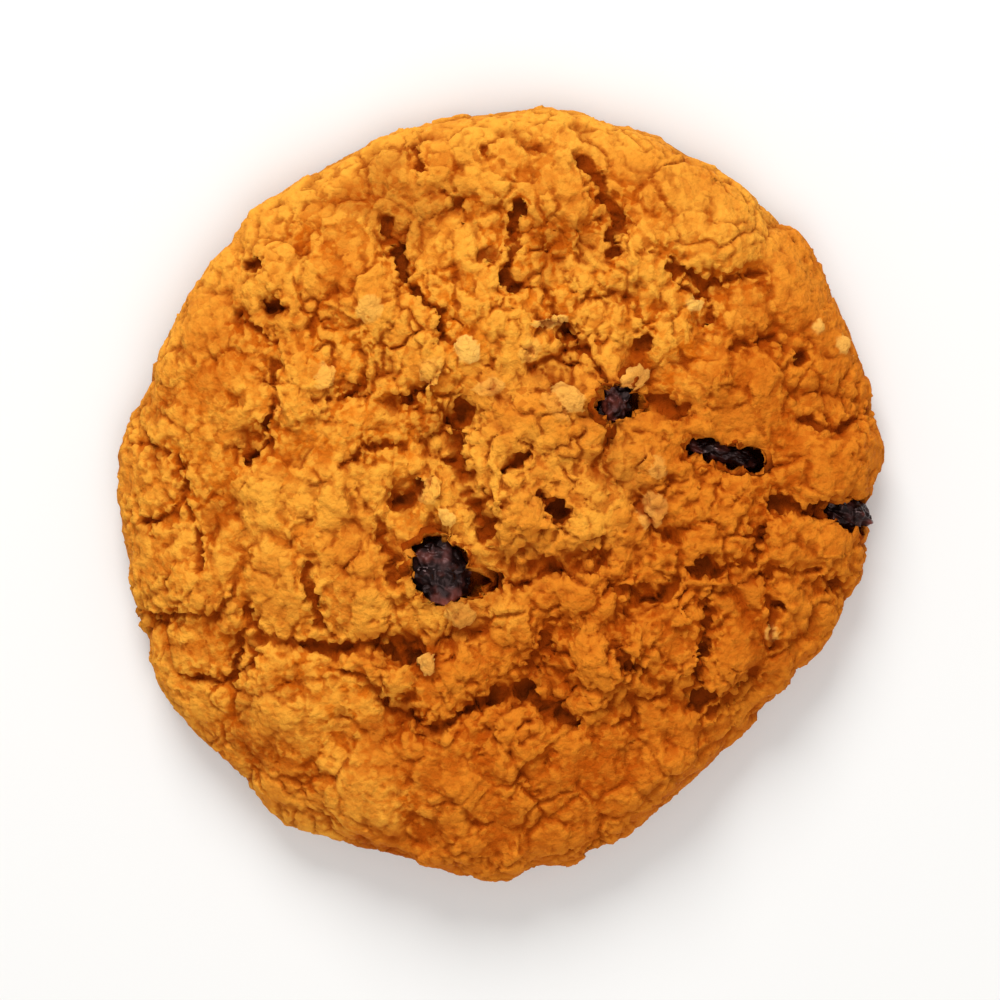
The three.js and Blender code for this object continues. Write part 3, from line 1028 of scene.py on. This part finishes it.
# %% [markdown]
# ## Tears, walls and the base
#
# The rest of each fissure is cut after the crumbs have fused, where the mesh is finest. Its lips sag and
# are strewn with rubble, and crumbs stand out of its walls. The base is flat from the baking sheet, apart
# from pores and from shallow hollows where steam kept the dough off the metal.

# %% Helpers for tears, walls and the base
TEAR_SHARE = 1 - CORE_SHARE


def tear_relief(tree, fissure):
    """What is cut away along a fissure, and how far its lips sag."""
    cut = product(tree, remap(tree, fissure["share"], 0.2, 1.1, -TEAR_SHARE, 0), fissure["depth"])
    sag = remap(tree, fissure["distance"], 0, 2 * MM, -0.28 * MM, 0)
    return total(tree, cut, sag)


def rubble_relief(tree, place, fissure):
    """Loose crumbs along the lips of a fissure."""
    crumb = remap(tree, voronoi(tree, place, 1.1 * MM)["Distance"], 0.1, 0.7, 0.25 * MM, -0.2 * MM)
    return product(tree, crumb, remap(tree, fissure["distance"], 0.6 * MM, 2.2 * MM, 1, 0))


def crumb_walls(tree, crust, place, normal, fissure, fruit):
    """Crumbs on the walls of the fissures, pushed sideways into them. The base below stays flat."""
    above = remap(tree, part_of(tree, place, "Z"), 2 * MM, 4 * MM)
    steep = remap(tree, part_of(tree, normal, "Z"), 0.85, 0.4)
    close = remap(tree, fissure["distance"], 0.8 * MM, 2 * MM, 1, 0)
    knob = remap(tree, voronoi(tree, place, 0.9 * MM)["Distance"], 0.1, 0.65, 0.4 * MM, -0.12 * MM)
    push = product(tree, knob, above, steep, close, remap(tree, fruit, 0.8 * MM, 2 * MM))
    sideways = vector_calc(tree, "NORMALIZE", blurred(tree, normal, 2))
    return move(tree, crust, scaled(tree, sideways, push))


def base_relief(tree, place, height, fine, sizes):
    """How far the base is hollow at a point: dents, pores and grain, only near the sheet."""
    dent = remap(tree, cloud(tree, place, 6 * MM, 30, 5), 0.52, 0.66)
    dent = product(tree, dent, sizes["base_hollow"])
    bent = vector_calc(tree, "ADD", place, drift(tree, place, 1.2 * MM, 31, 2, 1.6 * MM))
    pore = voronoi(tree, bent, sizes["pore_spacing"])
    opening = product(tree, part_of(tree, pore["Color"], "X"), 0.36)
    pore = remap(tree, calc(tree, "SUBTRACT", opening, pore["Distance"]), 0, 0.16)
    pore = product(tree, pore, sizes["pore_depth"])
    grain = product(tree, calc(tree, "ABSOLUTE", fine), 1.5)
    near_sheet = remap(tree, height, 0.1 * MM, 0.8 * MM, 1, 0)
    return product(tree, total(tree, dent, pore, grain), near_sheet)


# %% [markdown]
# ## Beds for the raisins
#
# A raisin sits tight in its bed: the dough baked onto it. In the solid there is a clear gap round each one.
# Here the walls of the bed are drawn onto the raisin, and the crust closes over the rim of the bed with a
# torn lip, as it does where dough has risen round the fruit. The dough beside each raisin is noted, so
# that the finish can paint shade there.

# %% Helper for the raisins' beds
def bed_raisins(tree, crust, place, normal, sizes):
    """Draws the walls onto the raisins, closes the rims over them and notes where shade is painted beside
    them.
    """
    near = nearest_face(tree, place, sizes["raisins"])
    away = near["Distance"]
    pull = vector_calc(tree, "SUBTRACT", near["Position"], place)
    outward = read_nearest(tree, place, sizes["raisins"], normal, "FLOAT_VECTOR")
    outside = calc(tree, "LESS_THAN", dot(tree, pull, outward), 0)
    facing = remap(tree, dot(tree, normal, outward), 0.3, 0.8, 1, 0)
    hold = product(tree, remap(tree, away, 0.3 * MM, 1.2 * MM, 1.15, 0), outside, facing)
    crust = move(tree, crust, scaled(tree, pull, hold))
    inward = vector_calc(tree, "NORMALIZE", flattened(tree, pull))
    torn = remap(tree, cloud(tree, place, 1.6 * MM, 40, 2), 0.3, 0.7, 0.3, 1.3)
    rim = remap(tree, away, 0.5 * MM, 2.6 * MM, 1, 0)
    upward = remap(tree, part_of(tree, normal, "Z"), 0.1, 0.6)
    lip = product(tree, rim, torn, upward, outside, sizes["raisin_lip"])
    crust = move(tree, crust, scaled(tree, inward, lip))
    # Notes the dough beside a raisin, where the finish paints shade
    return store(tree, crust, "stain", remap(tree, away, 0.2 * MM, 1.5 * MM, 1, 0))


# %% [markdown]
# ## One dough
#
# Baking melts crumbs, flakes and dough into one body. A voxel Remesh does the same: it wraps all the
# overlapping shapes in a single skin, with soft joins where they meet. One tree then gives that skin its
# lumps, tears, walls, base and beds, and notes for each point what the finish needs to know. A Decimate
# modifier ends it: it takes triangles away where the crust is calm and keeps them at the edges.

# %% Fuse the crust and crack it
DEPTH_NOTES = {"valley": 500, "hollow": 120, "nook": 12}


def crack_tree(material):
    """The tree that shapes the fused dough."""
    tree, given, result = new_geometry_tree(
        "Cracked crust",
        parts=None,
        raisins=None,
        fissures=None,
        grain_rise=0.2 * MM,
        raisin_lip=0.75 * MM,
        base_hollow=0.45 * MM,
        pore_spacing=2 * MM,
        pore_depth=0.7 * MM,
        steady=16,
    )
    sizes = given.outputs
    place, normal = here(tree)
    height = part_of(tree, place, "Z")
    oat = read_nearest(tree, place, sizes["parts"], stored(tree, "oat"))
    fruit = nearest_face(tree, place, sizes["raisins"])["Distance"]
    fissure = fissure_at(tree, place, sizes["fissures"], fruit)
    rise, gaps, tones = lump_relief(tree, place)
    crack = product(tree, remap(tree, fissure["share"], 0.5, 1.3, 1, 0),
                    remap(tree, fissure["depth"], 0.3 * MM, 1.1 * MM, 0.5, 1))
    notes = {"oat": oat, "gap": gaps, "crack": crack, "lump_tone": tones[1], "crumb_tone": tones[2]}
    crust = move(tree, sizes["Geometry"], Position=blurred(tree, place, 1))
    for name, value in notes.items():
        crust = store(tree, crust, name, value)

    # The relief is lower on oat flakes, near raisins and towards the base
    fine = calc(tree, "SUBTRACT", cloud(tree, place, 0.7 * MM, 1, 4), 0.5)
    fine = product(tree, fine, sizes["grain_rise"])
    rise = total(tree, rise, fine, rubble_relief(tree, place, fissure))
    on_oat = remap(tree, oat, 0.1, 0.6, 1, 0.5)
    near_fruit = remap(tree, fruit, 0.3 * MM, 1.6 * MM, 0.1, 1)
    rise = total(tree, product(tree, rise, on_oat, near_fruit), tear_relief(tree, fissure))
    rise = product(tree, rise, remap(tree, height, 0.2 * MM, 2.5 * MM))
    rise = calc(tree, "SUBTRACT", rise, base_relief(tree, place, height, fine, sizes))
    upright = vector_calc(tree, "NORMALIZE", blurred(tree, normal, sizes["steady"]))
    crust = move(tree, crust, scaled(tree, upright, rise))
    crust = crumb_walls(tree, crust, place, normal, fissure, fruit)
    crust = bed_raisins(tree, crust, place, normal, sizes)
    for name, count in DEPTH_NOTES.items():
        crust = store(tree, crust, name, depth_below(tree, count))
    return end_tree(tree, crust, material, result)


VOXEL = 0.23 * MM
TRIANGLE_LIMIT = 195_000
dough = new_object("dough_crust", crust_parts.data.copy())
fuse = dough.modifiers.new("fuse", "REMESH")
fuse.mode = "VOXEL"
fuse.voxel_size = VOXEL
apply_tree(dough, crack_tree(baked_crust), parts=crust_parts, **guides)
make_plain(dough)
print("fused dough:", triangles(dough), "triangles")
thin = dough.modifiers.new("thin", "DECIMATE")
thin.ratio = min(1, TRIANGLE_LIMIT / triangles(dough))
make_plain(dough)
print("dough:", triangles(dough), "triangles")

# %% [markdown]
# ## Stage, light and camera
#
# Crumb and cracks only show when light comes in from one side. A key light behind the cookie draws shadows
# out of the fissures towards the viewer, a large fill light from the front softens them, and a white world
# stands for the room. The camera looks almost straight down with a long lens, so the outline isn't bent.
# The floor is plain and pale, because nothing should compete with the crust.

# %% Set the stage
FLOOR_SIZE = 3
half = FLOOR_SIZE / 2
floor_corners = [(-half, -half, 0), (half, -half, 0), (half, half, 0), (-half, half, 0)]
floor = new_piece("floor", floor_corners, faces=[(0, 1, 2, 3)])
floor_material, _, floor_shader, _ = new_material("pale_floor")
floor_shader.inputs["Base Color"].default_value = (0.86, 0.85, 0.83, 1)
floor_shader.inputs["Roughness"].default_value = 0.7
floor.data.materials.append(floor_material)
print("floor:", FLOOR_SIZE, "m")


# %% Light it
def area_light(name, place, size, power):
    """A round, soft light that shines on the cookie."""
    data = bpy.data.lights.new(name, "AREA")
    data.shape = "DISK"
    data.size = size
    data.energy = power
    light = new_object(name, data)
    light.location = place
    light.rotation_euler = Vector(place).to_track_quat("Z", "Y").to_euler()


area_light("key", place=(-0.12, 0.6, 0.45), size=0.4, power=4.65)
area_light("fill", place=(0.1, -0.35, 0.8), size=0.9, power=3.3)
world = bpy.data.worlds.new("studio")
world.use_nodes = True
background = world.node_tree.nodes["Background"].inputs
background["Color"].default_value = (1, 1, 1, 1)
background["Strength"].default_value = 0.42
bpy.context.scene.world = world
bpy.context.scene.view_settings.view_transform = "Standard"
print("lights:", [light.name for light in bpy.data.lights])

# %% Place the camera
LENS = 120
SENSOR = 36
FRAME_WIDTH = 100 * MM
LEAN = math.radians(-6)
camera_data = bpy.data.cameras.new("camera")
camera_data.lens = LENS
camera_data.sensor_width = SENSOR
camera = new_object("camera", camera_data)
bpy.context.scene.camera = camera
target = (cad_low + cad_high) / 2
distance = FRAME_WIDTH * LENS / SENSOR
camera.rotation_euler = (LEAN, 0, 0)
camera.location = target + Vector((0, -math.sin(LEAN), math.cos(LEAN))) * distance
print("camera:", round(distance, 3), "m away")

# %% [markdown]
# ## Hand over
# ## Tidy up
# The guides have done their work and go. The solids are hidden, and each finished piece is attached to
# the body that it moves with.

# %% Hide the solids and attach the pieces
for guide in (raisin_guide, fissure_guide, oat_guide, crust_parts):
    bpy.data.objects.remove(guide)
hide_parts("dough")
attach(dough, "root")
for raisin, node in zip(raisins, RAISIN_NODES):
    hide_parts(node)
    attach(raisin, "root")
